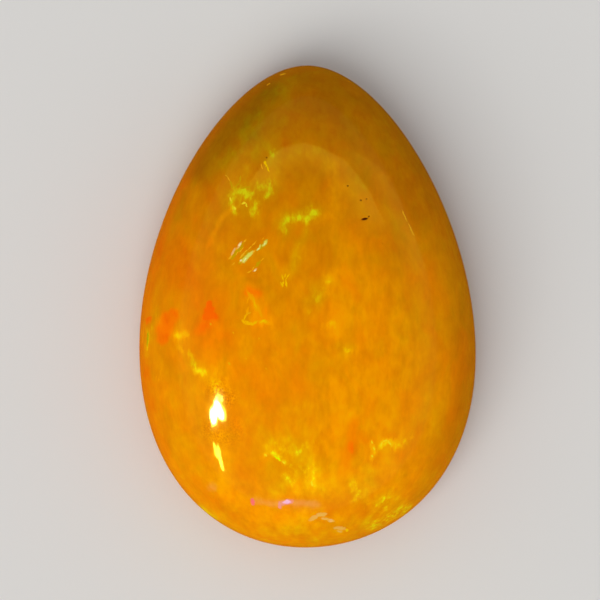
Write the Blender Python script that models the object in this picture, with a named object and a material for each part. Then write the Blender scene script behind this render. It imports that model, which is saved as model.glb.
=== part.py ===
"""An opal cabochon: one stone, cut to an egg-shaped outline with a high polished dome on a flat base.

It lies on its base. +Z is up through the dome, +Y runs to the narrow end, and the origin is on the
base, in the middle of the stone's length and width. Metres.
"""

import math

import bmesh
import bpy
import numpy as np
from mathutils import Vector
from mathutils.geometry import interpolate_bezier

MM = 0.001

# Overall size
LENGTH = 14.5 * MM
WIDTH = 10.12 * MM
HEIGHT = 5.6 * MM

# Outline: four points where it runs square to an axis, and how tightly it turns at each
NARROW_END_RADIUS = 1.75 * MM
BROAD_END_RADIUS = 5.2 * MM
RIGHT_SIDE_RADIUS = 8.9 * MM
LEFT_SIDE_RADIUS = 9.6 * MM
RIGHT_WIDEST_Y = -1.44 * MM
LEFT_WIDEST_Y = -1.26 * MM
NARROW_END_X = -0.01 * MM
BROAD_END_X = -0.06 * MM

# Dome: its top stands over the broad half, and its shoulders are fuller than an ellipse's
DOME_TOP_Y = -0.8 * MM
DOME_TOP_LENGTH = 7.0 * MM
DOME_TOP_WIDTH = 5.2 * MM
DOME_FULLNESS = 0.88

# Edge under the dome: a narrow upright girdle, then a bevel down to the flat base
GIRDLE_TOP = 1.0 * MM
GIRDLE_FOOT = 0.62 * MM
BEVEL_INSET = 0.5 * MM
EDGE_ROUNDING = 0.12 * MM
BASE_ROUNDING = 0.1 * MM

# How finely it is built
CUBE_CUTS = 27
OUTLINE_STEPS = 96
ROUNDING_STEPS = 3
CORNER_HANDLE = 2 / 3
BEZIER_TURN = 2 / 3
HANDLE_PASSES = 200
CREASE_ANGLE = math.radians(30)
CUT_TOLERANCE = 1e-6

OPAL_COLOUR = (0.62, 0.24, 0.01, 1.0)
OPAL_ROUGHNESS = 0.08
OPAL_IOR = 1.45


def clear_scene():
    for old in list(bpy.data.objects):
        bpy.data.objects.remove(old, do_unlink=True)


def handle_lengths(across, along, end_radius, side_radius):
    """The handles of a quarter of the outline, which turns with one radius at the end of the stone
    and the other at its side. across and along are the quarter's width and length. A Bezier curve
    leaves its end with a radius of the handle squared over BEZIER_TURN times the far handle's offset."""
    end_handle = across / 2
    side_handle = along / 2
    for _ in range(HANDLE_PASSES):
        from_radius = math.sqrt(BEZIER_TURN * (along - side_handle) * end_radius)
        end_handle = (end_handle + from_radius) / 2
        from_radius = math.sqrt(BEZIER_TURN * (across - end_handle) * side_radius)
        side_handle = (side_handle + from_radius) / 2
    return end_handle, side_handle


def quarter(end, side, end_radius, side_radius):
    """Points of the outline from an end of the stone to one of its sides, both included."""
    across = side - end
    end_handle, side_handle = handle_lengths(abs(across.x), abs(across.y), end_radius, side_radius)
    near_end = end + Vector((math.copysign(end_handle, across.x), 0.0))
    near_side = side - Vector((0.0, math.copysign(side_handle, across.y)))
    return interpolate_bezier(end, near_end, near_side, side, OUTLINE_STEPS)


def outline_points():
    """The stone seen from above, once round, anticlockwise from its right side."""
    narrow = Vector((NARROW_END_X, LENGTH / 2))
    broad = Vector((BROAD_END_X, -LENGTH / 2))
    right = Vector((WIDTH / 2, RIGHT_WIDEST_Y))
    left = Vector((-WIDTH / 2, LEFT_WIDEST_Y))
    to_narrow = quarter(narrow, right, NARROW_END_RADIUS, RIGHT_SIDE_RADIUS)[::-1]
    to_left = quarter(narrow, left, NARROW_END_RADIUS, LEFT_SIDE_RADIUS)
    to_broad = quarter(broad, left, BROAD_END_RADIUS, LEFT_SIDE_RADIUS)[::-1]
    to_right = quarter(broad, right, BROAD_END_RADIUS, RIGHT_SIDE_RADIUS)
    return to_narrow[:-1] + to_left[:-1] + to_broad[:-1] + to_right[:-1]


def outline_reach(points):
    """The outline as turns and distances, seen from the point under the dome's top."""
    rays = np.array([(point.x, point.y - DOME_TOP_Y) for point in points])
    return np.arctan2(rays[:, 1], rays[:, 0]), np.hypot(rays[:, 0], rays[:, 1])


def ellipse_reach(angle):
    """The dome's contour lines close to its top are ellipses of these proportions."""
    return 1 / math.hypot(math.cos(angle) / DOME_TOP_WIDTH, math.sin(angle) / DOME_TOP_LENGTH)


def dome_point(direction, turns, distances):
    """Where a point of the upper half of a unit ball goes on the dome."""
    angle = math.atan2(direction.y, direction.x)
    out = min(1.0, math.hypot(direction.x, direction.y))
    top_shape = ellipse_reach(angle)
    edge_shape = np.interp(angle, turns, distances, period=math.tau)
    radius = out * (top_shape + (edge_shape - top_shape) * out**2)
    rise = max(0.0, direction.z) ** DOME_FULLNESS
    return Vector(
        (
            radius * math.cos(angle),
            DOME_TOP_Y + radius * math.sin(angle),
            GIRDLE_TOP + (HEIGHT - GIRDLE_TOP) * rise,
        )
    )


def half_ball(bm):
    """The upper half of a unit ball of nearly even squares, with no pole at its top."""
    bmesh.ops.create_cube(bm, size=2.0)
    bmesh.ops.subdivide_edges(bm, edges=bm.edges[:], cuts=CUBE_CUTS, use_grid_fill=True)
    for vert in bm.verts:
        vert.co = Vector([math.tan(part * math.pi / 4) for part in vert.co]).normalized()
    bmesh.ops.bisect_plane(
        bm,
        geom=bm.verts[:] + bm.edges[:] + bm.faces[:],
        dist=CUT_TOLERANCE,
        plane_co=(0, 0, 0),
        plane_no=(0, 0, 1),
        clear_inner=True,
    )


def rounded_corner(corner, before, after, rounding):
    """(inset, height) points that round a corner of the edge's section."""
    start = corner + (before - corner).normalized() * rounding
    end = corner + (after - corner).normalized() * rounding
    near_start = start.lerp(corner, CORNER_HANDLE)
    near_end = end.lerp(corner, CORNER_HANDLE)
    return interpolate_bezier(start, near_start, near_end, end, ROUNDING_STEPS)


def edge_section():
    """(inset, height) of each line round the stone below the dome, from the girdle to the base."""
    top = Vector((0.0, GIRDLE_TOP))
    foot = Vector((0.0, GIRDLE_FOOT))
    rim = Vector((BEVEL_INSET, 0.0))
    inwards = rim + Vector((BEVEL_INSET, 0.0))
    girdle_foot = rounded_corner(foot, top, rim, EDGE_ROUNDING)
    base_rim = rounded_corner(rim, foot, inwards, BASE_ROUNDING)
    return girdle_foot + base_rim


def inwards_normals(ring):
    """The way into the stone, level, at each vertex of a ring that runs round it."""
    found = []
    for index, vert in enumerate(ring):
        along = ring[(index + 1) % len(ring)].co - ring[index - 1].co
        found.append(Vector((-along.y, along.x, 0.0)).normalized())
    return found


def ordered_ring(bm):
    """The open edge's vertices in order, anticlockwise seen from above."""
    boundary = [vert for vert in bm.verts if vert.is_boundary]
    return sorted(boundary, key=lambda vert: math.atan2(vert.co.y - DOME_TOP_Y, vert.co.x))


def extrude_edge(bm):
    """Carries the dome's open edge down the girdle and the bevel, and closes the base."""
    ring = ordered_ring(bm)
    starts = [vert.co.copy() for vert in ring]
    inwards = inwards_normals(ring)
    for inset, height in edge_section():
        edges = [edge for edge in bm.edges if edge.is_boundary]
        bmesh.ops.extrude_edge_only(bm, edges=edges)
        ring = ordered_ring(bm)
        for vert, start, way in zip(ring, starts, inwards):
            vert.co = start + way * inset
            vert.co.z = height
    bm.faces.new(ring)


def polished_opal():
    material = bpy.data.materials.new("polished_opal")
    material.use_nodes = True
    shader = material.node_tree.nodes["Principled BSDF"]
    shader.inputs["Base Color"].default_value = OPAL_COLOUR
    shader.inputs["Roughness"].default_value = OPAL_ROUGHNESS
    shader.inputs["Metallic"].default_value = 0.0
    shader.inputs["IOR"].default_value = OPAL_IOR
    return material


def make_stone():
    bm = bmesh.new()
    half_ball(bm)
    turns, distances = outline_reach(outline_points())
    for vert in bm.verts:
        vert.co = dome_point(vert.co, turns, distances)
    extrude_edge(bm)
    bmesh.ops.recalc_face_normals(bm, faces=bm.faces[:])
    mesh = bpy.data.meshes.new("opal")
    bm.to_mesh(mesh)
    bm.free()
    mesh.shade_smooth()
    mesh.set_sharp_from_angle(angle=CREASE_ANGLE)
    mesh.materials.append(polished_opal())
    stone = bpy.data.objects.new("opal", mesh)
    bpy.context.scene.collection.objects.link(stone)


clear_scene()
make_stone()
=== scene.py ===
import math

import bmesh
import bpy
import numpy as np
from mathutils import Matrix, Vector, noise
from mathutils.geometry import interpolate_bezier


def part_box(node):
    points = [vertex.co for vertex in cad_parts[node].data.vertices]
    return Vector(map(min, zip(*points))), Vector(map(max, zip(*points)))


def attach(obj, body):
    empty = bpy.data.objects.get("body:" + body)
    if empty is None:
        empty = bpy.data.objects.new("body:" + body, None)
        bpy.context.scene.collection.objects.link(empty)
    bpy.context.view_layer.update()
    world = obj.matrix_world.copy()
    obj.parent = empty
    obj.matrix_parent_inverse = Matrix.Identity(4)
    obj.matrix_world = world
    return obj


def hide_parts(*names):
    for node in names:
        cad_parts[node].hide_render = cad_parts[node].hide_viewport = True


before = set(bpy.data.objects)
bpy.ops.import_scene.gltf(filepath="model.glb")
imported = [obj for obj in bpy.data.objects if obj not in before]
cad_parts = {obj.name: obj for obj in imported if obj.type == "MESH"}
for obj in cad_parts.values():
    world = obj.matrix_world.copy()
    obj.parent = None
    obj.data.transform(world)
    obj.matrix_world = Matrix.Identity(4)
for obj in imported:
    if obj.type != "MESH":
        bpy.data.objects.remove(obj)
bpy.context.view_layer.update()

# All places and sizes are millimetres. The narrow end of the stone points to +Y, the dome is up.
mm = 0.001
boxLow, boxHigh = (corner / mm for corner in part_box("opal"))

stone = {
    "length": boxHigh.y - boxLow.y,
    "width": boxHigh.x - boxLow.x,
    "height": boxHigh.z - boxLow.z,
    "narrowEndRadius": 1.75,
    "broadEndRadius": 5.2,
    "rightSideRadius": 8.9,
    "leftSideRadius": 9.6,
    "rightWidestY": -1.44,
    "leftWidestY": -1.26,
    "narrowEndX": -0.01,
    "broadEndX": -0.06,
    "domeTopY": -0.8,
    "domeTopLength": 7.0,
    "domeTopWidth": 5.2,
    "domeFullness": 0.88,
    "girdleTop": 1.0,
    "girdleFoot": 0.62,
    "bevelInset": 0.5,
    "edgeRounding": 0.12,
    "baseRounding": 0.1,
    "domeCuts": 139,
    "outlineSteps": 96,
    "roundingSteps": 6,
    "creaseAngle": 40.0,
    "polishWave": 2.4,      # length of the slow waves that hand polishing leaves
    "polishDepth": 0.004,
}

# Shares that a Bezier curve needs to keep a radius at its ends, and to round a corner
bezierTurn = 2 / 3
cornerHandle = 2 / 3
handlePasses = 200
cutTolerance = 1e-6


# A quarter of the outline runs from an end of the stone to a side, with a set radius at each
def bezierHandles(across, along, endRadius, sideRadius):
    endHandle, sideHandle = across / 2, along / 2
    for _ in range(handlePasses):
        endHandle = (endHandle + math.sqrt(bezierTurn * (along - sideHandle) * endRadius)) / 2
        sideHandle = (sideHandle + math.sqrt(bezierTurn * (across - endHandle) * sideRadius)) / 2
    return endHandle, sideHandle


def outlineQuarter(end, side, endRadius, sideRadius):
    across = side - end
    endHandle, sideHandle = bezierHandles(abs(across.x), abs(across.y), endRadius, sideRadius)
    nearEnd = end + Vector((math.copysign(endHandle, across.x), 0))
    nearSide = side - Vector((0, math.copysign(sideHandle, across.y)))
    return interpolate_bezier(end, nearEnd, nearSide, side, stone["outlineSteps"])


# The outline as turns and distances, seen from the point under the dome's top
def outlineReach():
    narrow = Vector((stone["narrowEndX"], stone["length"] / 2))
    broad = Vector((stone["broadEndX"], -stone["length"] / 2))
    right = Vector((stone["width"] / 2, stone["rightWidestY"]))
    left = Vector((-stone["width"] / 2, stone["leftWidestY"]))
    quarters = [
        outlineQuarter(narrow, right, stone["narrowEndRadius"], stone["rightSideRadius"])[::-1],
        outlineQuarter(narrow, left, stone["narrowEndRadius"], stone["leftSideRadius"]),
        outlineQuarter(broad, left, stone["broadEndRadius"], stone["leftSideRadius"])[::-1],
        outlineQuarter(broad, right, stone["broadEndRadius"], stone["rightSideRadius"]),
    ]
    rays = np.array([(point.x, point.y - stone["domeTopY"]) for part in quarters for point in part[:-1]])
    return np.arctan2(rays[:, 1], rays[:, 0]), np.hypot(rays[:, 0], rays[:, 1])


def edgeReach(angle):
    turns, distances = outlineReach()
    return np.interp(angle, turns, distances, period=math.tau)


# Where points of the upper half of a unit ball go on the dome
def domePlaces(directions):
    x, y, z = directions.T
    angle = np.arctan2(y, x)
    out = np.minimum(1.0, np.hypot(x, y))
    topShape = 1 / np.hypot(np.cos(angle) / stone["domeTopWidth"], np.sin(angle) / stone["domeTopLength"])
    radius = out * (topShape + (edgeReach(angle) - topShape) * out**2)
    rise = np.maximum(0.0, z) ** stone["domeFullness"]
    height = stone["girdleTop"] + (stone["height"] - stone["girdleTop"]) * rise
    return np.stack([radius * np.cos(angle), stone["domeTopY"] + radius * np.sin(angle), height], axis=1)


def roundedCorner(corner, before, after, rounding):
    start = corner + (before - corner).normalized() * rounding
    end = corner + (after - corner).normalized() * rounding
    nearStart = start.lerp(corner, cornerHandle)
    nearEnd = end.lerp(corner, cornerHandle)
    return interpolate_bezier(start, nearStart, nearEnd, end, stone["roundingSteps"])


# How far in and how high each line round the stone is, from the girdle to the base
def edgeSection():
    top = Vector((0, stone["girdleTop"]))
    foot = Vector((0, stone["girdleFoot"]))
    rim = Vector((stone["bevelInset"], 0))
    inwards = rim + Vector((stone["bevelInset"], 0))
    girdle = roundedCorner(foot, top, rim, stone["edgeRounding"])
    return girdle + [foot.lerp(rim, 0.5)] + roundedCorner(rim, foot, inwards, stone["baseRounding"])


def orderedRing(bm):
    boundary = [vert for vert in bm.verts if vert.is_boundary]
    return sorted(boundary, key=lambda vert: math.atan2(vert.co.y - stone["domeTopY"], vert.co.x))


def carryEdgeDown(bm):
    ring = orderedRing(bm)
    starts = [vert.co.copy() for vert in ring]
    inwards = []
    for index in range(len(ring)):
        along = ring[(index + 1) % len(ring)].co - ring[index - 1].co
        inwards.append(Vector((-along.y, along.x, 0)).normalized())
    for inset, height in edgeSection():
        bmesh.ops.extrude_edge_only(bm, edges=[edge for edge in bm.edges if edge.is_boundary])
        ring = orderedRing(bm)
        for vert, start, way in zip(ring, starts, inwards):
            vert.co = start + way * inset
            vert.co.z = height
    bm.faces.new(ring)


def halfBall(bm):
    bmesh.ops.create_cube(bm, size=2)
    bmesh.ops.subdivide_edges(bm, edges=bm.edges[:], cuts=stone["domeCuts"], use_grid_fill=True)
    for vert in bm.verts:
        vert.co = Vector([math.tan(part * math.pi / 4) for part in vert.co]).normalized()
    bmesh.ops.bisect_plane(
        bm,
        geom=bm.verts[:] + bm.edges[:] + bm.faces[:],
        dist=cutTolerance,
        plane_co=(0, 0, 0),
        plane_no=(0, 0, 1),
        clear_inner=True,
    )


# Tiny open pits in the polish: place, half length, half width, turn in degrees, depth
pits = {
    "main": ((1.70, 2.61), 0.10, 0.035, 10, 0.04),
    "tail": ((1.83, 2.69), 0.035, 0.025, 35, 0.025),
    "pairLeft": ((1.59, 3.17), 0.045, 0.035, 0, 0.022),
    "pairRight": ((1.76, 3.21), 0.036, 0.03, 0, 0.02),
    "upper": ((1.20, 3.60), 0.042, 0.038, 0, 0.022),
    "leftUpper": ((-1.22, 4.45), 0.035, 0.035, 0, 0.02),
    "leftLower": ((-1.15, 4.10), 0.022, 0.022, 0, 0.012),
    "rightFaint": ((2.25, 1.89), 0.022, 0.022, 0, 0.012),
    "farLeft": ((-2.43, 3.90), 0.028, 0.028, 0, 0.015),
}
pitFaces = {"passes": 2, "reach": 2.2, "margin": 0.04}   # how far round each pit the faces are made smaller


def pitDepths(places):
    depths = np.zeros(len(places))
    for (x, y), halfLength, halfWidth, turn, depth in pits.values():
        across = places[:, :2] - (x, y)
        cos, sin = math.cos(math.radians(turn)), math.sin(math.radians(turn))
        along = (across[:, 0] * cos + across[:, 1] * sin) / halfLength
        beside = (across[:, 1] * cos - across[:, 0] * sin) / halfWidth
        depths += depth * np.exp(-(along**2 + beside**2))
    return depths * (places[:, 2] > stone["girdleTop"])


# Smaller faces round each pit, so that it has a shape of its own
def refineAtPits(bm):
    for _ in range(pitFaces["passes"]):
        places = domePlaces(np.array([vert.co for vert in bm.verts]))
        near = np.zeros(len(places), bool)
        for (x, y), halfLength, *_ in pits.values():
            reach = pitFaces["reach"] * halfLength + pitFaces["margin"]
            near |= np.hypot(places[:, 0] - x, places[:, 1] - y) < reach
        close = {vert for vert, isNear in zip(bm.verts, near) if isNear}
        edges = [edge for edge in bm.edges if edge.verts[0] in close and edge.verts[1] in close]
        bmesh.ops.subdivide_edges(bm, edges=edges, cuts=1, use_grid_fill=True)
    for vert in bm.verts:
        if vert.co.z > 0:
            vert.co.normalize()


# The faces in one steady order, each from its lowest vertex on, so that every run makes the same mesh
def steadyFaces(bm):
    bm.verts.index_update()
    found = []
    for face in bm.faces:
        corners = [vert.index for vert in face.verts]
        first = corners.index(min(corners))
        found.append(corners[first:] + corners[:first])
    return sorted(found)


def makeStoneMesh():
    bm = bmesh.new()
    halfBall(bm)
    refineAtPits(bm)
    places = domePlaces(np.array([vert.co for vert in bm.verts]))
    places[:, 2] -= pitDepths(places)
    for vert, place in zip(bm.verts, places):
        vert.co = place
    carryEdgeDown(bm)
    bmesh.ops.recalc_face_normals(bm, faces=bm.faces[:])
    for vert in bm.verts:
        if vert.co.z > stone["girdleTop"]:
            fade = min(1.0, vert.co.z - stone["girdleTop"])
            wave = noise.noise(vert.co / stone["polishWave"])
            vert.co += vert.normal * wave * fade * stone["polishDepth"]
    mesh = bpy.data.meshes.new("opalStone")
    mesh.from_pydata([vert.co for vert in bm.verts], [], steadyFaces(bm))
    bm.free()
    mesh.shade_smooth()
    mesh.set_sharp_from_angle(angle=math.radians(stone["creaseAngle"]))
    return mesh


# The fire and the clouds, as strokes seen from above: points, half width, strength
strokes = {
    "lime": [
        ([(-2.27, 3.23), (-2.24, 2.99), (-2.18, 2.81)], 0.17, 0.75),
        ([(-2.12, 3.35), (-1.91, 3.38), (-1.67, 3.32)], 0.21, 0.9),
        ([(-1.67, 3.32), (-1.58, 3.05), (-1.64, 2.78)], 0.18, 0.8),
        ([(-1.49, 3.59), (-1.25, 3.62)], 0.18, 0.75),
        ([(-1.13, 3.68), (-1.10, 3.44), (-1.25, 3.23)], 0.15, 0.8),
        ([(-2.30, 3.78), (-2.24, 3.47)], 0.08, 0.5),
        ([(-1.97, 3.90), (-2.12, 3.53)], 0.08, 0.45),
        ([(-2.06, 3.53), (-1.64, 3.56)], 0.08, 0.45),
        ([(-1.04, 4.74), (-1.04, 4.47)], 0.08, 0.6),
        ([(-0.68, 2.21), (-0.71, 2.48)], 0.15, 0.75),
        ([(-0.62, 2.54), (-0.35, 2.60), (-0.08, 2.66)], 0.18, 0.8),
        ([(-0.05, 2.63), (0.11, 2.75)], 0.26, 0.95),
        ([(0.11, 2.96), (0.08, 2.72)], 0.12, 0.75),
        ([(-3.53, -1.37), (-3.44, -1.46), (-3.38, -1.70)], 0.11, 0.75),
        ([(-4.77, -0.68), (-4.80, -0.95), (-4.83, -1.22)], 0.09, 0.8),
        ([(-4.59, -0.26), (-4.62, -0.71)], 0.11, 0.4),
        ([(-1.01, -4.41), (-0.86, -4.53)], 0.14, 0.95),
        ([(-0.80, -4.59), (-0.65, -4.71)], 0.08, 0.85),
        ([(-0.92, -4.05), (-0.92, -4.26)], 0.12, 0.5),
        ([(-1.13, -4.17), (-0.53, -4.32), (0.14, -4.20)], 0.27, 0.42),
        ([(-0.59, -4.68), (-0.23, -4.86)], 0.24, 0.35),
        ([(-0.68, -5.01), (-0.50, -5.16)], 0.15, 0.4),
        ([(1.37, -5.31), (1.46, -5.64), (1.40, -5.82)], 0.20, 0.45),
        ([(1.76, -6.06), (2.18, -5.76)], 0.15, 0.4),
        ([(2.12, -5.94), (2.36, -5.73), (2.30, -5.97)], 0.17, 0.6),
        ([(2.15, -6.18), (2.30, -6.06)], 0.12, 0.5),
        ([(2.60, -6.15), (2.87, -6.00)], 0.12, 0.65),
        ([(1.97, -6.60), (2.27, -6.39), (2.51, -6.27)], 0.18, 0.65),
        ([(-0.23, 1.94), (-0.35, 1.34)], 0.15, 0.3),
        ([(-0.05, -0.20), (0.11, -0.08)], 0.09, 0.6),
        ([(0.14, 0.11), (0.44, 0.50), (0.62, 0.74)], 0.14, 0.5),
    ],
    "yellow": [
        ([(-3.87, -0.89), (-3.59, -0.86)], 0.14, 1.1),
        ([(-3.90, -1.10), (-3.78, -1.28)], 0.17, 0.6),
        ([(-4.44, -1.10), (-4.35, -1.22)], 0.09, 0.6),
        ([(-3.26, -1.88), (-3.14, -1.94)], 0.17, 0.9),
        ([(-2.72, -1.85), (-2.45, -2.18)], 0.15, 0.5),
        ([(-2.48, -2.21), (-2.21, -2.63)], 0.17, 0.45),
        ([(-4.95, -0.71), (-4.98, -1.07)], 0.08, 0.7),
        ([(-0.08, -4.86), (-0.02, -5.31)], 0.12, 0.4),
        ([(0.17, -4.71), (0.14, -5.37)], 0.12, 0.42),
        ([(-0.68, -4.98), (-0.47, -5.16)], 0.15, 0.4),
        ([(1.91, -3.99), (2.00, -4.23), (1.91, -4.50)], 0.10, 1.0),
        ([(2.18, -4.17), (2.30, -3.99), (2.48, -4.02), (2.57, -4.20)], 0.10, 1.1),
        ([(2.57, -4.05), (2.78, -4.17)], 0.11, 0.9),
        ([(2.84, -4.05), (3.08, -3.87)], 0.08, 0.65),
        ([(0.53, -0.62), (0.77, -0.50)], 0.16, 0.75),
        ([(1.22, -1.31), (1.28, -1.34)], 0.09, 0.8),
        ([(-1.43, -0.44), (-1.16, -0.50)], 0.09, 0.6),
        ([(-1.25, -4.38), (-1.25, -4.47)], 0.08, 0.6),
        ([(1.49, -5.31), (1.55, -5.49)], 0.08, 0.5),
        ([(1.13, -1.25), (1.31, -1.37)], 0.09, 0.7),
        ([(-4.50, -2.12), (-4.35, -1.97)], 0.09, 0.45),
        ([(2.81, -6.21), (3.11, -5.94)], 0.09, 0.8),
        ([(2.36, -6.45), (2.66, -6.24)], 0.11, 0.7),
    ],
    "ember": [
        ([(-4.02, -0.26), (-4.20, -0.53), (-4.35, -0.95)], 0.24, 1.0),
        ([(-4.14, -0.38), (-4.29, -0.68)], 0.30, 0.95),
        ([(-2.90, 0.14), (-2.90, -0.08)], 0.10, 1.0),
        ([(-2.96, -0.08), (-2.84, -0.08)], 0.15, 0.8),
        ([(-2.99, -0.29), (-2.81, -0.29)], 0.20, 0.8),
        ([(-3.23, -0.71), (-2.99, -0.59)], 0.27, 0.5),
        ([(-1.76, 0.44), (-1.49, 0.38)], 0.20, 0.70),
        ([(-1.34, 0.23), (-1.25, -0.05), (-1.25, -0.35)], 0.10, 0.4),
        ([(-4.77, -0.41), (-4.77, -0.50)], 0.09, 0.8),
        ([(1.31, -4.05), (1.34, -4.32)], 0.12, 0.6),
    ],
    "red": [
        ([(-3.96, 1.52), (-3.23, 0.50), (-2.72, -1.01)], 0.81, 0.9),
        ([(-3.35, -0.71), (-2.87, -1.49)], 0.39, 0.6),
        ([(1.28, 2.15), (2.78, 1.34), (3.68, 0.20)], 0.84, 0.35),
        ([(4.68, -0.86), (4.47, -3.11), (3.99, -4.77)], 0.39, 0.6),
        ([(-3.38, -5.22), (-2.87, -5.82)], 0.39, 0.45),
        ([(-2.00, -1.97), (-1.94, -2.57)], 0.24, 0.4),
        ([(-4.77, -1.85), (-4.53, -3.11)], 0.15, 0.6),
        ([(-2.99, 3.62), (-2.84, 3.26)], 0.27, 0.5),
        ([(-3.23, 2.54), (-3.96, 1.64)], 0.36, 0.35),
        ([(-1.19, -5.76), (-0.71, -6.42)], 0.33, 0.3),
        ([(1.37, -3.53), (1.28, -4.17), (1.16, -4.68)], 0.24, 0.85),
        ([(1.46, -3.71), (1.76, -3.96)], 0.15, 0.8),
        ([(1.40, -3.84), (1.37, -4.38)], 0.17, 1.0),
        ([(1.04, -4.38), (0.98, -4.92)], 0.18, 0.6),
        ([(-2.87, 3.20), (-2.69, 2.84)], 0.24, 0.6),
        ([(4.47, -2.81), (4.29, -3.71)], 0.27, 0.6),
        ([(2.57, -3.96), (2.78, -4.50)], 0.27, 0.6),
        ([(3.53, 1.40), (3.68, 0.14)], 0.36, 0.6),
        ([(1.04, 1.16), (1.46, 0.32)], 0.27, 0.5),
    ],
    "honey": [
        ([(-0.71, 6.51), (-1.13, 5.61), (-1.37, 4.71)], 0.60, 0.9),
        ([(-1.73, 5.31), (-2.18, 4.05)], 0.54, 0.8),
        ([(-1.58, 4.65), (-0.53, 4.53), (0.38, 4.71)], 0.33, 0.4),
        ([(1.34, 3.74), (1.88, 3.32)], 0.33, 0.3),
        ([(-2.27, 3.20), (-1.19, 3.50)], 0.51, 0.95),
        ([(-0.74, 2.54), (0.14, 2.75)], 0.36, 0.85),
        ([(-0.08, 2.24), (-0.59, 0.95)], 0.21, 0.8),
        ([(0.44, 0.74), (0.02, -0.17)], 0.30, 0.85),
        ([(0.98, -1.16), (1.43, -1.37)], 0.24, 0.4),
        ([(-3.53, -1.52), (-2.78, -2.27)], 0.27, 0.6),
        ([(-0.08, -2.96), (0.02, -3.71)], 0.42, 0.6),
        ([(-1.07, -4.17), (-0.23, -4.50), (0.08, -5.22)], 0.60, 0.95),
        ([(-0.98, -5.07), (-0.53, -5.16)], 0.36, 0.8),
        ([(1.43, -5.16), (1.64, -5.76)], 0.36, 0.9),
        ([(2.18, -5.82), (2.84, -6.12)], 0.36, 0.9),
        ([(2.06, -4.17), (2.84, -4.05)], 0.24, 0.6),
        ([(-1.28, -6.72), (0.38, -6.36), (1.13, -6.30), (1.94, -6.60)], 0.36, 0.65),
        ([(0.38, -6.87), (1.28, -6.72)], 0.36, 0.7),
        ([(-4.83, -0.56), (-4.86, -1.37)], 0.15, 0.9),
        ([(-1.07, 5.13), (-0.92, 3.62)], 0.36, 0.9),
        ([(-2.03, 3.20), (-1.73, 2.78)], 0.30, 1.0),
        ([(-2.27, 3.62), (-1.07, 3.68)], 0.27, 0.7),
        ([(-1.07, -4.74), (-0.89, -5.40)], 0.30, 1.0),
        ([(1.64, -4.80), (1.88, -5.28)], 0.30, 0.9),
        ([(-0.23, -6.72), (0.14, -7.02)], 0.33, 0.9),
        ([(2.42, -5.64), (2.90, -6.06)], 0.24, 0.9),
        ([(-3.08, -6.06), (-2.27, -6.60)], 0.21, 0.7),
    ],
    # Lighter patches: partly the stone's own lighter zones, partly painted glow under the highlights and in
    # their tails
    "bright": [
        ([(-2.93, -1.16), (-2.69, -2.21), (-2.69, -4.02), (-2.48, -5.52), (-1.37, -6.42)], 0.36, 0.7),
        ([(-2.72, -4.38), (-2.45, -5.46)], 0.12, 0.9),
        ([(1.07, 0.95), (1.25, 0.20)], 0.36, 1.0),
        ([(1.73, 0.50), (2.18, -1.91), (1.94, -4.92)], 1.20, 0.6),
        ([(1.28, -3.35), (1.13, -4.92)], 0.36, 0.95),
        ([(0.83, -5.07), (-0.23, -5.40)], 0.42, 0.7),
        ([(-1.73, 0.50), (-1.55, 0.05), (-1.52, -0.41)], 0.24, 1.0),
        ([(-4.35, -0.56), (-3.81, -0.92)], 0.27, 0.6),
        ([(-3.02, -0.05), (-3.11, -0.71)], 0.27, 0.5),
        ([(-1.13, -6.33), (-0.08, -6.27)], 0.36, 0.8),
        ([(2.63, -3.96), (2.72, -4.20)], 0.24, 0.4),
        ([(1.22, 2.00), (1.13, 1.04)], 0.42, 0.45),
        ([(2.78, -0.65), (2.90, -1.19)], 0.30, 0.3),
        ([(-2.27, 2.96), (-2.66, 2.42), (-2.96, 1.88)], 0.11, 0.75),
        ([(0.89, 3.74), (1.13, 3.56)], 0.18, 0.6),
        ([(0.83, 4.26), (0.80, 2.75)], 0.36, 0.7),
        ([(0.80, 0.74), (0.92, -0.71)], 0.39, 1.0),
        ([(0.86, -2.36), (0.92, -4.32)], 0.36, 0.9),
        ([(2.72, -0.35), (2.66, -1.67)], 0.36, 0.6),
        ([(-2.93, -0.26), (-2.69, -0.77)], 0.27, 0.7),
        ([(-1.79, 0.50), (-1.19, -0.35)], 0.27, 0.7),
    ],
    # Darker, more olive patches: partly the stone's own zones, partly painted shade on the flanks away from
    # the light
    "dull": [
        ([(-1.37, 6.45), (-2.21, 5.43), (-3.17, 4.17)], 0.66, 0.95),
        ([(-1.79, 5.19), (-2.87, 3.87)], 0.42, 0.6),
        ([(2.33, 4.71), (3.02, 3.20), (3.50, 1.70)], 0.54, 0.4),
        ([(1.94, 1.34), (2.72, 1.34)], 0.27, 0.3),
        ([(-4.35, -1.37), (-3.84, -2.15)], 0.39, 0.3),
        ([(-0.53, -0.86), (0.23, -1.85)], 0.42, 0.2),
        ([(2.06, -2.75), (2.36, -3.05)], 0.27, 0.25),
        ([(1.76, 2.84), (2.00, 2.60)], 0.21, 0.2),
        ([(-0.08, 4.17), (0.44, 3.93)], 0.24, 0.2),
        ([(0.98, 3.93), (1.34, 4.11)], 0.21, 0.2),
        ([(-1.07, 2.36), (0.02, 2.00)], 0.33, 0.35),
        ([(2.66, 2.36), (2.72, 1.16)], 0.36, 0.5),
        ([(1.64, 4.26), (1.82, 3.65)], 0.30, 0.35),
        ([(4.35, -0.17), (4.47, -1.01)], 0.27, 0.3),
        ([(-2.00, 0.62), (-2.09, -0.17)], 0.15, 0.3),
        ([(-1.19, 0.53), (-1.04, 0.02)], 0.15, 0.3),
        ([(-1.85, 0.77), (-1.43, 0.77)], 0.15, 0.35),
        ([(-3.74, 3.35), (-3.81, 2.72)], 0.27, 0.45),
    ],
    "peach": [
        ([(-1.55, -5.82), (-0.92, -5.85)], 0.15, 0.45),
        ([(-0.83, -5.85), (-0.41, -5.85)], 0.15, 0.6),
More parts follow.
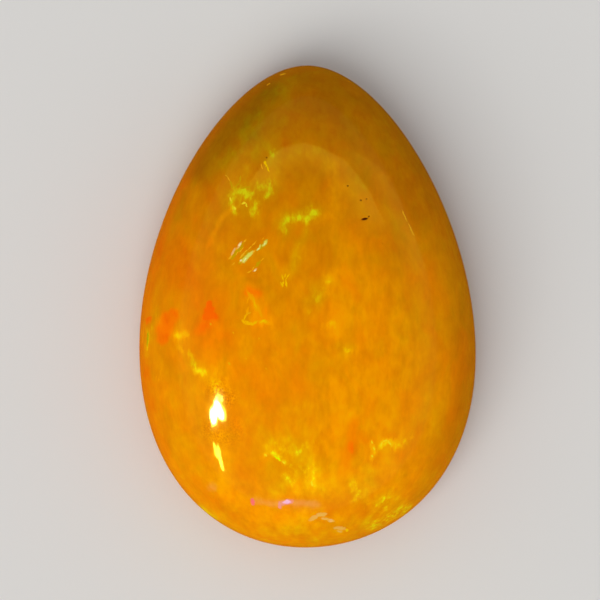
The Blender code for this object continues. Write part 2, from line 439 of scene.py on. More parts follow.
        ([(-0.44, -5.88), (0.26, -5.88)], 0.14, 0.55),
        ([(-2.90, -5.40), (-2.81, -5.43)], 0.18, 0.4),
    ],
    # Scuffed polish round the highlight: fine bumps there, and painted glints and dark specks in its colour
    "scuffAndGlints": [
        ([(-2.72, -2.45), (-2.36, -2.72)], 0.22, 0.8),
        ([(-2.92, -3.72), (-2.50, -3.90)], 0.28, 0.45),
        ([(-2.20, -3.50), (-2.10, -3.80)], 0.25, 0.25),
    ],
}

# Painted reflections of a broad light, as faint pale bands: each has a clear outer edge, given by its points,
# and fades inwards over its reach.
# The last number is its strength.
paintedReflectionBands = [
    ([(-1.36, 4.19), (-1.12, 4.49), (-0.73, 4.74), (-0.08, 4.89), (0.43, 4.73), (1.12, 4.37), (1.50, 3.92),
      (1.86, 3.41), (2.07, 2.97)], 0.6, 1.0),
    ([(1.70, 4.47), (2.18, 4.17), (2.48, 3.62), (2.78, 3.14), (2.93, 2.60), (3.23, 2.00), (3.41, 1.52)],
     0.5, 0.45),
]
paintedReflectionEdge = 0.08

# The strokes fade out where the dome meets the girdle, and drift a little so that no edge is ruled
markFade = {"from": 0.7, "over": 0.3}
markDrift = {"size": 0.45, "amount": 0.09, "seed": 1}


# Distance to a line of points, and on which side of it each place lies
def lineDistance(flat, points):
    nearest = np.full(len(flat), np.inf)
    side = np.zeros(len(flat))
    for start, end in zip(points, points[1:]):
        start, run = np.array(start), np.array(end) - np.array(start)
        share = np.clip((flat - start) @ run / (run @ run), 0, 1)
        away = flat - start - share[:, None] * run
        distance = np.hypot(away[:, 0], away[:, 1])
        closer = distance < nearest
        nearest = np.where(closer, distance, nearest)
        side = np.where(closer, np.sign(run[1] * away[:, 0] - run[0] * away[:, 1]), side)
    return nearest, side


def strokeMask(flat, lines):
    shown = np.zeros(len(flat))
    for points, halfWidth, strength in lines:
        distance, _ = lineDistance(flat, points)
        shown = np.maximum(shown, strength * np.exp(-((distance / halfWidth) ** 2)))
    return shown


def paintedReflectionMask(flat):
    shown = np.zeros(len(flat))
    for points, reach, strength in paintedReflectionBands:
        distance, side = lineDistance(flat, points)
        edge = np.clip(0.5 + side * distance / paintedReflectionEdge, 0, 1)
        shown = np.maximum(shown, strength * edge * np.exp(-((distance / reach) ** 2)))
    return shown


def addMasks(mesh):
    places = np.empty(len(mesh.vertices) * 3)
    mesh.vertices.foreach_get("co", places)
    places = places.reshape(-1, 3)
    onDome = np.clip((places[:, 2] - markFade["from"]) / markFade["over"], 0, 1)
    noise.seed_set(markDrift["seed"])   # without a seed the drift differs from run to run
    drift = np.array([noise.noise_vector(Vector(place) / markDrift["size"]) for place in places])[:, :2]
    drifted = places[:, :2] + drift * markDrift["amount"]
    masks = {name: strokeMask(drifted, lines) * onDome for name, lines in strokes.items()}
    # The pale bands are painted reflections
    masks["paintedReflection"] = paintedReflectionMask(places[:, :2]) * onDome
    masks["pit"] = pitDepths(places) / max(pit[-1] for pit in pits.values())
    fromTop = places[:, :2] - (0, stone["domeTopY"])
    masks["rimDepth"] = edgeReach(np.arctan2(fromTop[:, 1], fromTop[:, 0])) - np.hypot(*fromTop.T)
    for name, values in masks.items():
        mesh.attributes.new(name, "FLOAT", "POINT").data.foreach_set("value", values)


# Thin bright slivers: ends, half width, tone
slivers = [
    ((-2.36, 1.40), (-2.24, 1.55), 0.045, "gold"),
    ((-2.27, 1.52), (-2.15, 1.76), 0.057, "rose"),
    ((-2.15, 1.67), (-2.06, 1.79), 0.042, "gold"),
    ((-2.33, 1.34), (-1.85, 1.97), 0.090, "olive"),
    ((-2.09, 1.74), (-1.97, 1.94), 0.060, "rose"),
    ((-2.05, 1.82), (-2.00, 1.88), 0.036, "white"),
    ((-1.91, 1.90), (-1.82, 2.00), 0.039, "gold"),
    ((-2.14, 1.52), (-2.06, 1.64), 0.030, "gold"),
    ((-2.03, 1.62), (-1.91, 1.76), 0.030, "gold"),
    ((-2.02, 1.44), (-1.85, 1.64), 0.033, "gold"),
    ((-1.88, 1.62), (-1.76, 1.70), 0.030, "gold"),
    ((-1.77, 1.68), (-1.67, 1.82), 0.033, "gold"),
    ((-1.67, 1.80), (-1.50, 1.97), 0.033, "gold"),
    ((-1.37, 1.99), (-1.31, 2.05), 0.030, "gold"),
    ((-2.03, 1.32), (-1.94, 1.40), 0.045, "gold"),
    ((-2.00, 1.35), (-1.96, 1.40), 0.030, "white"),
    ((-1.94, 1.32), (-1.77, 1.52), 0.100, "pale"),
    ((-1.90, 1.35), (-1.83, 1.43), 0.036, "white"),
    ((-1.83, 1.44), (-1.64, 1.63), 0.085, "pale"),
    ((-2.03, 1.28), (-1.67, 1.64), 0.135, "olive"),
    ((-1.74, 1.53), (-1.55, 1.68), 0.060, "gold"),
    ((-1.50, 1.67), (-1.43, 1.76), 0.048, "pale"),
    ((-1.48, 1.69), (-1.45, 1.73), 0.027, "white"),
    ((-1.44, 1.74), (-1.40, 1.85), 0.033, "pale"),
    ((-1.35, 1.79), (-1.21, 1.97), 0.068, "pale"),
    ((-1.43, 1.70), (-1.19, 2.00), 0.102, "olive"),
    ((-1.31, 1.83), (-1.26, 1.90), 0.027, "white"),
    ((-1.62, 1.04), (-1.49, 1.14), 0.039, "rose"),
    ((-1.59, 1.06), (-1.53, 1.10), 0.024, "white"),
    ((-1.67, 1.08), (-1.59, 1.17), 0.027, "gold"),
    ((-1.80, 1.01), (-1.68, 1.07), 0.030, "gold"),
    ((-1.56, 1.16), (-1.40, 1.37), 0.078, "olive"),
    ((-1.41, 1.34), (-1.28, 1.47), 0.027, "gold"),
    ((-2.27, 1.23), (-2.15, 1.32), 0.030, "gold"),
    ((-0.77, 0.95), (-0.71, 0.77), 0.039, "hair"),
    ((-0.72, 0.80), (-0.74, 0.56), 0.045, "hair"),
    ((-0.68, 0.86), (-0.66, 0.99), 0.033, "hair"),
    ((-0.65, 0.83), (-0.62, 0.56), 0.039, "hair"),
    ((-0.65, 0.80), (-0.53, 0.98), 0.027, "hair"),
    ((-0.80, 0.74), (-0.77, 0.59), 0.030, "hair"),
    ((-1.29, 4.36), (-1.22, 4.17), 0.048, "hair"),
    ((-1.23, 4.20), (-1.14, 4.02), 0.036, "hair"),
    ((-1.39, 4.26), (-1.35, 4.09), 0.030, "gold"),
    ((-1.96, 3.07), (-1.85, 3.11), 0.036, "spark"),
    ((-1.85, 3.10), (-1.80, 2.97), 0.033, "spark"),
    ((-2.31, 3.25), (-2.28, 3.13), 0.039, "spark"),
    ((-2.19, 2.97), (-2.14, 2.90), 0.036, "spark"),
    ((-2.24, 2.83), (-2.20, 2.89), 0.024, "gold"),
    ((-1.73, 2.83), (-1.71, 2.75), 0.024, "gold"),
    ((-2.30, 3.78), (-2.25, 3.49), 0.030, "olive"),
    ((-2.00, 3.91), (-2.02, 3.71), 0.033, "olive"),
    ((-2.02, 3.71), (-2.18, 3.52), 0.033, "olive"),
    ((-2.39, 3.88), (-2.33, 3.74), 0.021, "gold"),
    ((-2.45, 3.91), (-2.41, 3.87), 0.024, "gold"),
    ((-2.03, 3.53), (-1.67, 3.56), 0.033, "olive"),
    ((-1.97, -0.39), (-1.85, -0.51), 0.066, "butter"),
    ((-1.88, -0.50), (-1.61, -0.53), 0.066, "butter"),
    ((-1.64, -0.52), (-1.49, -0.42), 0.060, "butter"),
    ((-1.90, -0.41), (-1.82, -0.23), 0.045, "butter"),
    ((-1.82, -0.23), (-1.67, -0.15), 0.036, "gold"),
    ((-1.41, -0.47), (-1.25, -0.39), 0.057, "hair"),
    ((-1.82, 0.50), (-1.58, 0.11), 0.084, "amber"),
    ((-1.61, 0.17), (-1.50, -0.17), 0.084, "amber"),
    ((-1.73, 0.32), (-1.82, 0.08), 0.039, "amber"),
    ((-1.49, -0.05), (-1.34, -0.38), 0.048, "amber"),
    ((2.18, -4.18), (2.24, -4.02), 0.027, "spark"),
    ((2.24, -4.02), (2.39, -3.98), 0.027, "spark"),
    ((2.39, -3.99), (2.51, -4.17), 0.027, "spark"),
    ((1.90, -3.99), (1.93, -4.08), 0.024, "spark"),
    ((1.97, -4.20), (2.00, -4.29), 0.027, "spark"),
    ((1.91, -4.42), (1.94, -4.50), 0.027, "spark"),
    ((-0.99, -4.45), (-0.89, -4.54), 0.048, "limeSpark"),
    ((-0.92, -4.50), (-0.80, -4.59), 0.042, "limeSpark"),
    ((-0.78, -4.60), (-0.66, -4.69), 0.027, "spark"),
    ((-1.28, -4.39), (-1.22, -4.47), 0.027, "spark"),
    ((0.12, -5.22), (0.14, -5.35), 0.045, "spark"),
    ((-2.88, -0.51), (-2.87, -0.54), 0.039, "gold"),
    ((-2.22, -0.76), (-2.21, -0.78), 0.030, "gold"),
    ((-1.46, -0.94), (-1.45, -0.96), 0.030, "gold"),
    ((-1.83, -1.54), (-1.82, -1.56), 0.027, "gold"),
    ((-2.34, -1.68), (-2.32, -1.71), 0.042, "gold"),
    ((-1.24, -1.83), (-1.22, -1.86), 0.027, "gold"),
    ((-0.77, -5.87), (-0.47, -5.81), 0.108, "pinkHalo"),
    ((-0.71, -5.85), (-0.53, -5.81), 0.075, "violet"),
    ((-0.84, -5.85), (-0.82, -6.02), 0.072, "pinkHalo"),
    ((-1.65, -5.77), (-1.63, -5.88), 0.084, "pinkDot"),
    ((0.08, -6.38), (0.32, -6.23), 0.090, "frost"),
    ((0.26, -6.23), (0.57, -6.20), 0.078, "frost"),
    ((0.41, -6.32), (0.65, -6.37), 0.048, "frost"),
    ((0.62, -6.39), (0.75, -6.41), 0.066, "frost"),
    ((0.68, -6.39), (0.72, -6.40), 0.048, "rose"),
    ((0.80, -6.62), (1.13, -6.65), 0.072, "frost"),
    ((0.89, -6.72), (1.04, -6.75), 0.036, "frost"),
    ((1.17, -6.69), (1.19, -6.70), 0.051, "hair"),
    ((-4.77, -0.68), (-4.81, -1.22), 0.033, "lime"),
    ((-1.67, 0.41), (-1.55, 0.02), 0.090, "amber"),
    ((-1.55, 0.14), (-1.37, -0.29), 0.090, "amber"),
    ((-1.76, 0.02), (-1.82, -0.32), 0.048, "amber"),
    ((-1.31, -0.44), (-1.16, -0.50), 0.096, "amber"),
    ((-1.85, -0.44), (-1.76, -0.50), 0.072, "butter"),
    ((-1.34, -0.41), (-1.22, -0.47), 0.054, "butter"),
    ((2.81, 2.90), (2.99, 2.51), 0.027, "gold"),
    ((2.99, 2.51), (3.20, 2.06), 0.027, "gold"),
    ((-0.83, 6.95), (-0.65, 6.99), 0.027, "gold"),
    ((-1.22, 6.63), (-1.13, 6.69), 0.024, "gold"),
    ((-1.64, 0.32), (-1.49, -0.14), 0.033, "butter"),
    ((-1.79, -0.50), (-1.58, -0.53), 0.066, "butter"),
]

finish = {
    # Body hues from ember red to lime. 0.5 is the plain honey orange of the stone.
    "hues": [
        (0.00, (1.0, 0.135, 0.0)),
        (0.25, (1.0, 0.225, 0.0)),
        (0.50, (1.0, 0.315, 0.0)),
        (0.70, (1.0, 0.410, 0.0)),
        (0.85, (1.0, 0.560, 0.001)),
        (1.00, (0.98, 0.860, 0.005)),
    ],
    "plainHue": 0.54,
    # How light the body is along the stone, from the broad end at -7.25 to the narrow end at 7.25
    # Partly the stone's own colour zoning, partly painted shade: darker towards the narrow end, which gets
    # less light
    "shades": [(-7.25, 0.84), (-5.2, 0.90), (-1.6, 0.90), (1.0, 0.84), (3.4, 0.71), (5.2, 0.55), (7.2, 0.38)],
    # Clouds in the body: what they change and how much, size, detail, stretch and shift
    "bodyDrift": {"size": 1.5, "amount": 1.4},
    "clouds": [
        ("hue", 0.25, {"size": 2.4, "detail": 2, "shift": (3.1, 0.4, 0)}),
        ("hue", 0.42, {"size": 0.6, "detail": 3, "stretch": (1, 1.8, 1.4)}),
        ("light", 0.20, {"size": 1.8, "detail": 2, "stretch": (1, 1.6, 1), "shift": (0.3, 7.1, 2)}),
        ("light", 0.32, {"size": 0.5, "detail": 3, "stretch": (1, 1.8, 1.4), "shift": (5.3, 1.1, 4)}),
    ],
    "grains": {
        "fibre": {"size": 0.26, "detail": 3, "stretch": (1, 2.4, 1.6)},
        "flake": {"size": 0.30, "detail": 3, "stretch": (1, 1.5, 1.2)},
        "curd": {"size": 0.12, "detail": 4, "stretch": (1, 2.2, 1.2), "rough": 0.6},
    },
    "grainInBody": {"fibre": {"hue": 0.20, "light": 0.12}, "curd": {"hue": 0.18, "light": 0.16}},
    # How each mark changes the hue and the lightness, its grain, how broken up it is and where it starts
    # and is full
    "marks": {
        "red": {"hue": -0.24, "light": 0.00, "grain": "fibre", "broken": 0.7, "soft": (0.10, 1.1)},
        "honey": {"hue": 0.19, "light": 0.00, "grain": "fibre", "broken": 0.8, "soft": (0.10, 1.0)},
        # lighter patches, partly painted glow round the highlights
        "bright": {"hue": 0.02, "light": 0.19, "grain": "fibre", "broken": 0.9, "soft": (0.05, 1.0)},
        # darker patches, partly painted shade on the flanks
        "dull": {"hue": 0.06, "light": -0.34, "grain": "fibre", "broken": 0.4, "soft": (0.05, 1.0)},
        # painted reflection bands, lighter and paler
        "paintedReflection": {"hue": 0.08, "light": 0.13, "grain": "fibre", "broken": 0.1, "soft": (0.0, 0.9)},
        "ember": {"hue": -0.39, "light": 0.22, "grain": "flake", "broken": 0.5, "soft": (0.22, 0.85)},
        "yellow": {"hue": 0.21, "light": 0.16, "grain": "curd", "broken": 1.5, "soft": (0.20, 1.15)},
        "lime": {"hue": 0.35, "light": 0.08, "grain": "curd", "broken": 1.5, "soft": (0.20, 1.20)},
    },
    # Bands just inside the rim: how deep in they start and are full, where they fade in across and along
    # the stone, and what they change
    "rims": {
        "redLeft": {"depth": (0.42, 0.10), "across": (0.5, -1.5), "along": (-6.0, -3.5), "hue": -0.28},
        # painted light along the left rim, the side that faces the light
        "paintedLightLeft": {"depth": (0.42, 0.10), "across": (0.5, -1.5), "light": 0.16},
        # painted shade along the right rim, the side away from the light
        "paintedShadeRight": {"depth": (1.1, 0.0), "across": (1.0, 3.5), "along": (-6.5, -2.5), "light": -0.30},
    },
    # Fire low on the flanks and on the base: size of the patches, which of them show, how far each one
    # spreads, the height where they fade in, and what they change
    "patches": {"size": 1.5, "chosen": (0.62, 0.66), "spread": (0.42, 0.15), "ragged": 0.5,
                "height": (2.6, 1.6), "hue": 1.1, "light": 0.12},
    "patchDrift": {"size": 0.5, "amount": 0.5},
    "peach": (0.94, 0.37, 0.085, 1.0),
    "peachBroken": 0.4,
    "reflectionTint": (0.62, 0.32, 0.02, 1.0),
    "reflectionTintShare": 0.25,
    # Colours of the slivers, painted in this order
    "tones": {
        "frost": (0.88, 0.47, 0.075, 1.0),
        "amber": (1.0, 0.40, 0.0, 1.0),
        "olive": (0.67, 0.38, 0.0, 1.0),
        "pinkHalo": (0.92, 0.32, 0.24, 1.0),
        "pinkDot": (1.0, 0.18, 0.17, 1.0),
        "lime": (0.58, 0.46, 0.0, 1.0),
        "limeSpark": (0.80, 0.92, 0.0, 1.0),
        "gold": (0.94, 0.46, 0.01, 1.0),
        "butter": (1.0, 0.53, 0.0, 1.0),
        "hair": (1.0, 0.62, 0.0, 1.0),
        "rose": (0.95, 0.52, 0.15, 1.0),
        "pale": (0.82, 0.76, 0.10, 1.0),
        "spark": (1.0, 0.76, 0.02, 1.0),
        "violet": (1.0, 0.52, 0.70, 1.0),
        "white": (1.0, 0.92, 0.38, 1.0),
    },
    "sliverDrift": {"size": 0.10, "amount": 0.07},
    "sliverBeads": {"size": 0.07, "detail": 2, "shift": (2, 5, 1)},
    "sliverBroken": 0.6,
    "pit": (0.09, 0.005, 0.0, 1.0),
    "polish": 0.045,
    "wear": 0.03,
    "groundBase": 0.36,
    "pepper": {"size": 0.06, "detail": 2},   # fine speckle where the polish is scuffed, as bumps and as painted glints in the colour
    "pepperGlintsInColour": 1.6,
    "pepperDepth": 0.004,
    "ior": 1.45,
    "scatter": 0.25,
    "scatterReach": (1.2, 0.42, 0.08),   # millimetres for red, green and blue
}


# Node helpers. Each gives back the socket that the next step reads.
def addNode(tree, kind, inputs, **settings):
    made = tree.nodes.new(kind)
    for name, value in settings.items():
        setattr(made, name, value)
    for name, value in inputs.items():
        if isinstance(value, bpy.types.NodeSocket):
            tree.links.new(value, made.inputs[name])
        else:
            made.inputs[name].default_value = value
    return made


def maths(tree, operation, first, second):
    return addNode(tree, "ShaderNodeMath", {0: first, 1: second}, operation=operation).outputs[0]


def total(tree, parts):
    added = parts[0]
    for part in parts[1:]:
        added = maths(tree, "ADD", added, part)
    return added


def ramp(tree, value, low, high, toLow=0.0, toHigh=1.0):
    inputs = {"Value": value, "From Min": low, "From Max": high, "To Min": toLow, "To Max": toHigh}
    return addNode(tree, "ShaderNodeMapRange", inputs, interpolation_type="SMOOTHSTEP").outputs[0]


def colourRamp(tree, value, stops):
    made = addNode(tree, "ShaderNodeValToRGB", {"Fac": value})
    elements = made.color_ramp.elements
    elements.remove(elements[1])
    elements[0].position = stops[0][0]
    elements[0].color = (*stops[0][1], 1.0)
    for position, colour in stops[1:]:
        elements.new(position).color = (*colour, 1.0)
    return made.outputs["Color"]


def mixColour(tree, factor, under, over, blend="MIX"):
    inputs = {0: factor, 6: under, 7: over}
    return addNode(tree, "ShaderNodeMix", inputs, data_type="RGBA", blend_type=blend).outputs[2]


def vectorMaths(tree, operation, first, second):
    slot = "Scale" if operation == "SCALE" else 1
    return addNode(tree, "ShaderNodeVectorMath", {0: first, slot: second}, operation=operation).outputs[0]


def cloud(tree, place, size, detail=2.0, stretch=(1, 1, 1), shift=(0, 0, 0), rough=0.5):
    scale = [1 / (size * part) for part in stretch]
    inputs = {"Vector": place, "Scale": scale, "Location": shift}
    moved = addNode(tree, "ShaderNodeMapping", inputs).outputs[0]
    inputs = {"Vector": moved, "Scale": 1.0, "Detail": detail, "Roughness": rough}
    return addNode(tree, "ShaderNodeTexNoise", inputs)


def centred(tree, texture, amount):
    shifted = maths(tree, "SUBTRACT", texture.outputs["Fac"], 0.5)
    return maths(tree, "MULTIPLY", shifted, amount)


def shaken(tree, place, size, amount):
    shake = cloud(tree, place, size).outputs["Color"]
    shake = vectorMaths(tree, "SCALE", vectorMaths(tree, "SUBTRACT", shake, (0.5, 0.5, 0.5)), amount)
    return vectorMaths(tree, "ADD", place, shake)


def mask(tree, name):
    return addNode(tree, "ShaderNodeAttribute", {}, attribute_name=name).outputs["Fac"]


def sliverMask(tree, place, start, end, halfWidth):
    start, end = Vector(start), Vector(end)
    middle = (start + end) / 2
    run = end - start
    inputs = {
        "Vector": place,
        "Location": (middle.x, middle.y, stone["height"] / 2),
        "Rotation": (0, 0, math.atan2(run.y, run.x)),
        "Scale": (run.length / 2 + halfWidth, halfWidth, stone["height"]),
    }
    local = addNode(tree, "ShaderNodeMapping", inputs, vector_type="TEXTURE").outputs[0]
    ball = addNode(tree, "ShaderNodeTexGradient", {"Vector": local}, gradient_type="SPHERICAL")
    return ball.outputs["Fac"]


# How strongly a mark shows at each place, roughened by its grain
def markShown(tree, name, mark, grains):
    drawn = mask(tree, name)
    roughened = maths(tree, "ADD", drawn, centred(tree, grains[mark["grain"]], mark["broken"]))
    return maths(tree, "MULTIPLY", ramp(tree, roughened, *mark["soft"]), ramp(tree, drawn, 0.02, 0.12))


def rimShown(tree, parts, rim):
    shown = ramp(tree, mask(tree, "rimDepth"), *rim["depth"])
    shown = maths(tree, "MULTIPLY", shown, ramp(tree, parts.outputs[0], *rim["across"]))
    if "along" in rim:
        shown = maths(tree, "MULTIPLY", shown, ramp(tree, parts.outputs[1], *rim["along"]))
    return shown


# Which patches of fire show low on the stone, and the way that each one's hue leans
def patchShown(tree, place, parts, grains):
    patches = finish["patches"]
    spread = shaken(tree, place, **finish["patchDrift"])
    cells = addNode(tree, "ShaderNodeTexVoronoi", {"Vector": spread, "Scale": 1 / patches["size"]})
    chance = addNode(tree, "ShaderNodeSeparateXYZ", {0: cells.outputs["Color"]})
    shown = maths(tree, "ADD", cells.outputs["Distance"], centred(tree, grains["curd"], patches["ragged"]))
    shown = ramp(tree, shown, *patches["spread"])
    shown = maths(tree, "MULTIPLY", shown, ramp(tree, chance.outputs[0], *patches["chosen"]))
    shown = maths(tree, "MULTIPLY", shown, ramp(tree, parts.outputs[2], *patches["height"]))
    return shown, maths(tree, "SUBTRACT", chance.outputs[1], 0.5)


# Every cloud, mark and rim changes the hue, the light or both, and the sums give the colour
def bodyColour(tree, place):
    drifted = shaken(tree, place, **finish["bodyDrift"])
    parts = addNode(tree, "ShaderNodeSeparateXYZ", {0: drifted})
    grains = {name: cloud(tree, place, **grain) for name, grain in finish["grains"].items()}
    sums = {"hue": [finish["plainHue"]], "light": [1.0]}

    def change(shown, changes):
        for kind in sums:
            if changes.get(kind):
                sums[kind].append(maths(tree, "MULTIPLY", shown, changes[kind]))

    for kind, amount, settings in finish["clouds"]:
        sums[kind].append(centred(tree, cloud(tree, drifted, **settings), amount))
    for name, changes in finish["grainInBody"].items():
        change(centred(tree, grains[name], 1.0), changes)
    for name, mark in finish["marks"].items():
        change(markShown(tree, name, mark, grains), mark)
    for rim in finish["rims"].values():
        change(rimShown(tree, parts, rim), rim)
    # Painted glints and dark specks round the highlight, where the polish is scuffed
    pepper = centred(tree, cloud(tree, place, **finish["pepper"]), finish["pepperGlintsInColour"])
    change(maths(tree, "MULTIPLY", mask(tree, "scuffAndGlints"), pepper), {"hue": 1.0, "light": 1.0})
    patch, lean = patchShown(tree, place, parts, grains)
    change(patch, {"light": finish["patches"]["light"]})
    change(maths(tree, "MULTIPLY", patch, lean), {"hue": finish["patches"]["hue"]})

    hue = colourRamp(tree, total(tree, sums["hue"]), finish["hues"])
    # Painted shade along the stone, together with its colour zoning
    reach = stone["length"] / 2
    inputs = {"Value": parts.outputs[1], "From Min": -reach, "From Max": reach}
    along = addNode(tree, "ShaderNodeMapRange", inputs)
    stops = [((y + reach) / stone["length"], (shade, shade, shade)) for y, shade in finish["shades"]]
    shade = mixColour(tree, 1.0, colourRamp(tree, along.outputs[0], stops), hue, "MULTIPLY")
    light = total(tree, sums["light"])
    light = addNode(tree, "ShaderNodeCombineColor", {0: light, 1: light, 2: light}).outputs[0]
    return mixColour(tree, 1.0, shade, light, "MULTIPLY"), grains


# The slivers are painted over the body, tone by tone
def paintSlivers(tree, place, colour):
    frayed = shaken(tree, place, **finish["sliverDrift"])
    beads = centred(tree, cloud(tree, place, **finish["sliverBeads"]), finish["sliverBroken"])
    for tone, toneColour in finish["tones"].items():
        near = None
        for start, end, halfWidth, sliverTone in slivers:
            if sliverTone == tone:
                one = sliverMask(tree, frayed, start, end, halfWidth)
                near = one if near is None else maths(tree, "MAXIMUM", near, one)
        shown = ramp(tree, maths(tree, "ADD", near, beads), 0.05, 0.45)
        shown = maths(tree, "MULTIPLY", shown, ramp(tree, near, 0.0, 0.10))
        colour = mixColour(tree, shown, colour, toneColour)
    return colour


def opalMaterial():
    material = bpy.data.materials.new("polishedOpal")
    material.use_nodes = True
    tree = material.node_tree
    shader = tree.nodes["Principled BSDF"]
    metres = tree.nodes.new("ShaderNodeTexCoord").outputs["Object"]
    place = vectorMaths(tree, "SCALE", metres, 1 / mm)
    colour, grains = bodyColour(tree, place)

    # Painted reflection: the bands also lean towards a pale milky tint
    reflectionShown = maths(tree, "MULTIPLY", mask(tree, "paintedReflection"), finish["reflectionTintShare"])
    colour = mixColour(tree, reflectionShown, colour, finish["reflectionTint"])
    roughened = maths(tree, "ADD", mask(tree, "peach"), centred(tree, grains["curd"], finish["peachBroken"]))
    colour = mixColour(tree, ramp(tree, roughened, 0.1, 1.0), colour, finish["peach"])
    colour = paintSlivers(tree, place, colour)
    colour = mixColour(tree, ramp(tree, mask(tree, "pit"), 0.15, 0.6), colour, finish["pit"])
    tree.links.new(colour, shader.inputs["Base Color"])

    # High polish with a little wear, and a base left from the grinding wheel
    z = addNode(tree, "ShaderNodeSeparateXYZ", {0: place}).outputs[2]
    worn = finish["polish"] + finish["wear"]
    wear = ramp(tree, grains["curd"].outputs["Fac"], 0.4, 0.75, finish["polish"], worn)
    inputs = {0: ramp(tree, z, 0.06, 0.02), 2: wear, 3: finish["groundBase"]}
    tree.links.new(addNode(tree, "ShaderNodeMix", inputs).outputs[0], shader.inputs["Roughness"])
    pepper = cloud(tree, place, **finish["pepper"]).outputs["Fac"]
    strength = ramp(tree, mask(tree, "scuffAndGlints"), 0.0, 1.0, 0.02, 1.0)
    inputs = {"Strength": strength, "Distance": finish["pepperDepth"] * mm, "Height": pepper}
    tree.links.new(addNode(tree, "ShaderNodeBump", inputs).outputs["Normal"], shader.inputs["Normal"])

    shader.inputs["IOR"].default_value = finish["ior"]
    shader.inputs["Subsurface Weight"].default_value = finish["scatter"]
    shader.inputs["Subsurface Radius"].default_value = finish["scatterReach"]
    shader.inputs["Subsurface Scale"].default_value = mm
    return material


def makeStone():
    mesh = makeStoneMesh()
    addMasks(mesh)
    mesh.transform(Matrix.Scale(mm, 4))
    mesh.materials.append(opalMaterial())
    made = bpy.data.objects.new("opalStone", mesh)
    bpy.context.scene.collection.objects.link(made)
    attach(made, "root")
    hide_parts("opal")
    return made


camera = {
    "lens": 800.0,
    "sensor": 36.0,
    "frameWidth": 18.05,     # across the picture, at the height of the girdle
    "centre": (-0.2256, 0.1955),
}


def makeCamera():
    data = bpy.data.cameras.new("camera")
    data.lens = camera["lens"]
    data.sensor_width = camera["sensor"]
    data.clip_start = 0.01
    data.clip_end = 10
    made = bpy.data.objects.new("camera", data)
    x, y = camera["centre"]
    distance = camera["frameWidth"] * camera["lens"] / camera["sensor"]
    made.location = Vector((x, y, stone["girdleTop"] + distance)) * mm
    bpy.context.scene.collection.objects.link(made)
    bpy.context.scene.camera = made
    return made


studio = {
    "floorSize": 3000.0,
    "floor": (0.74, 0.73, 0.71, 1.0),
    "floorRoughness": 0.8,
    "floorInPolish": (0.60, 0.24, 0.01, 1.0),   # the floor lit by the stone, as its own rim mirrors it
    "sky": 0.53,
    "walls": (0.50, 0.30, 0.05, 1.0),        # the warm room that the polish mirrors, up to this height
    "wallTop": 0.7,
    # Small warm lamps that only the polish mirrors: where on the stone, and how long, wide and turned
    # they show there
    "sparkles": {
        "key": {"at": (-2.80, -3.26), "length": 0.48, "width": 0.18, "turn": -10, "light": 420.0,
                "colour": (1.0, 0.95, 0.13)},
        "keyTop": {"at": (-2.66, -3.08), "length": 0.27, "width": 0.32, "turn": -20, "light": 420.0,
                   "colour": (1.0, 0.95, 0.13)},
        "keySide": {"at": (-2.55, -3.18), "length": 0.42, "width": 0.27, "turn": -4, "light": 30.0,
                    "colour": (0.90, 1.0, 0.06)},
        "stripLeft": {"at": (-2.74, -4.30), "length": 0.52, "width": 0.055, "turn": 12, "light": 60.0,
                      "colour": (0.80, 1.0, 0.06)},
        "stripRight": {"at": (-2.60, -4.56), "length": 0.84, "width": 0.065, "turn": 12, "light": 60.0,
                       "colour": (0.80, 1.0, 0.06)},
    },
    "sparkleDistance": 300.0,
    # Broad soft light that the polish doesn't mirror: where it stands, its size and its power
    "softboxes": {
        "overhead": {"from": (-130.0, -280.0, 500.0), "size": 500.0, "power": 1.46},
        "lowLeft": {"from": (-330.0, -300.0, 330.0), "size": 240.0, "power": 0.27},
    },
}


def makeFloor():
    bm = bmesh.new()
    bmesh.ops.create_grid(bm, x_segments=1, y_segments=1, size=studio["floorSize"] / 2 * mm)
    mesh = bpy.data.meshes.new("floor")
    bm.to_mesh(mesh)
    bm.free()
    material = bpy.data.materials.new("paleFloor")
    material.use_nodes = True
    tree = material.node_tree
    shader = tree.nodes["Principled BSDF"]
    mirrored = tree.nodes.new("ShaderNodeLightPath").outputs["Is Glossy Ray"]
    colour = mixColour(tree, mirrored, studio["floor"], studio["floorInPolish"])
    tree.links.new(colour, shader.inputs["Base Color"])
    shader.inputs["Roughness"].default_value = studio["floorRoughness"]
    shader.inputs["Specular IOR Level"].default_value = 0.0
    mesh.materials.append(material)
    floor = bpy.data.objects.new("floor", mesh)
    bpy.context.scene.collection.objects.link(floor)


def addLight(name, place, width, length, power, colour, axes):
    data = bpy.data.lights.new(name, "AREA")
    data.shape = "ELLIPSE"
    data.size, data.size_y = width * mm, length * mm
    data.energy = power
    data.color = colour
    light = bpy.data.objects.new(name, data)
    light.matrix_world = Matrix.Translation(place * mm) @ axes.to_4x4()
    bpy.context.scene.collection.objects.link(light)
    return light


# The way from a spot of the stone to what the camera sees mirrored there
def mirroredWay(opal, eye, x, y):
    above = Vector((x, y, 2 * stone["height"])) * mm
    _, spot, normal, _ = opal.ray_cast(above, Vector((0, 0, -1)))
    return spot / mm, (spot - eye.location).normalized().reflect(normal)


# How far apart the mirrored things are that show at two ends of a short line on the stone
def mirroredSpan(opal, eye, middle, reach):
    _, far = mirroredWay(opal, eye, *(middle + reach))
    _, near = mirroredWay(opal, eye, *(middle - reach))
    return (far - near) * studio["sparkleDistance"]


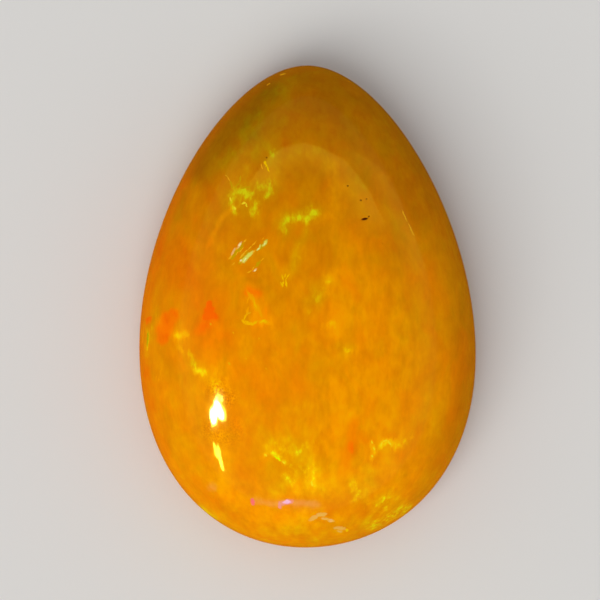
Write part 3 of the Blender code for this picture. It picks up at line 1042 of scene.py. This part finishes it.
# A lamp stands where its mirror image shows at a chosen spot, and is as large as that asks for
def placeSparkle(opal, eye, name, lamp):
    middle = Vector(lamp["at"])
    spot, way = mirroredWay(opal, eye, *middle)
    turn = Matrix.Rotation(math.radians(lamp["turn"]), 2)
    lengthwise = mirroredSpan(opal, eye, middle, turn @ Vector((0, lamp["length"] / 2)))
    crosswise = mirroredSpan(opal, eye, middle, turn @ Vector((lamp["width"] / 2, 0)))
    along = (lengthwise - way * lengthwise.dot(way)).normalized()
    axes = Matrix((along.cross(way), along, way)).transposed()
    length, width = lengthwise.length, crosswise.length
    power = lamp["light"] * math.pi * math.pi / 4 * length * width * mm * mm
    place = spot + way * studio["sparkleDistance"]
    light = addLight(name, place, width, length, power, lamp["colour"], axes)
    light.visible_diffuse = False
    turned, raised = math.degrees(math.atan2(way.y, way.x)), math.degrees(math.asin(way.z))
    print(name, "stands at", round(turned), "degrees,", round(raised), "up")


def placeSoftbox(name, box):
    place = Vector(box["from"])
    axes = place.to_track_quat("Z", "Y").to_matrix()
    light = addLight(name, place, box["size"], box["size"], box["power"], (1, 1, 1), axes)
    light.visible_glossy = False


def makeSky():
    world = bpy.data.worlds.new("studio")
    bpy.context.scene.world = world
    world.use_nodes = True
    background = world.node_tree.nodes["Background"]
    background.inputs["Color"].default_value = (1.0, 1.0, 1.0, 1.0)
    background.inputs["Strength"].default_value = studio["sky"]

    # The polish mirrors warm walls under a dark ceiling
    tree = world.node_tree
    way = tree.nodes.new("ShaderNodeTexCoord").outputs["Generated"]
    height = addNode(tree, "ShaderNodeSeparateXYZ", {0: way}).outputs[2]
    wall = ramp(tree, height, studio["wallTop"], 0.0)
    mirrored = tree.nodes.new("ShaderNodeLightPath").outputs["Is Glossy Ray"]
    walls = addNode(tree, "ShaderNodeBackground", {"Color": studio["walls"], "Strength": wall})
    inputs = {0: mirrored, 1: background.outputs[0], 2: walls.outputs[0]}
    seen = addNode(tree, "ShaderNodeMixShader", inputs)
    tree.links.new(seen.outputs[0], tree.nodes["World Output"].inputs["Surface"])


eye = makeCamera()
print("camera placed")
opal = makeStone()
print("opal made:", len(opal.data.polygons), "faces")
makeFloor()
makeSky()
bpy.context.view_layer.update()
for lampName, lamp in studio["sparkles"].items():
    placeSparkle(opal, eye, lampName, lamp)
for boxName, box in studio["softboxes"].items():
    placeSoftbox(boxName, box)
print("lights placed")

bpy.context.scene.view_settings.view_transform = "Standard"
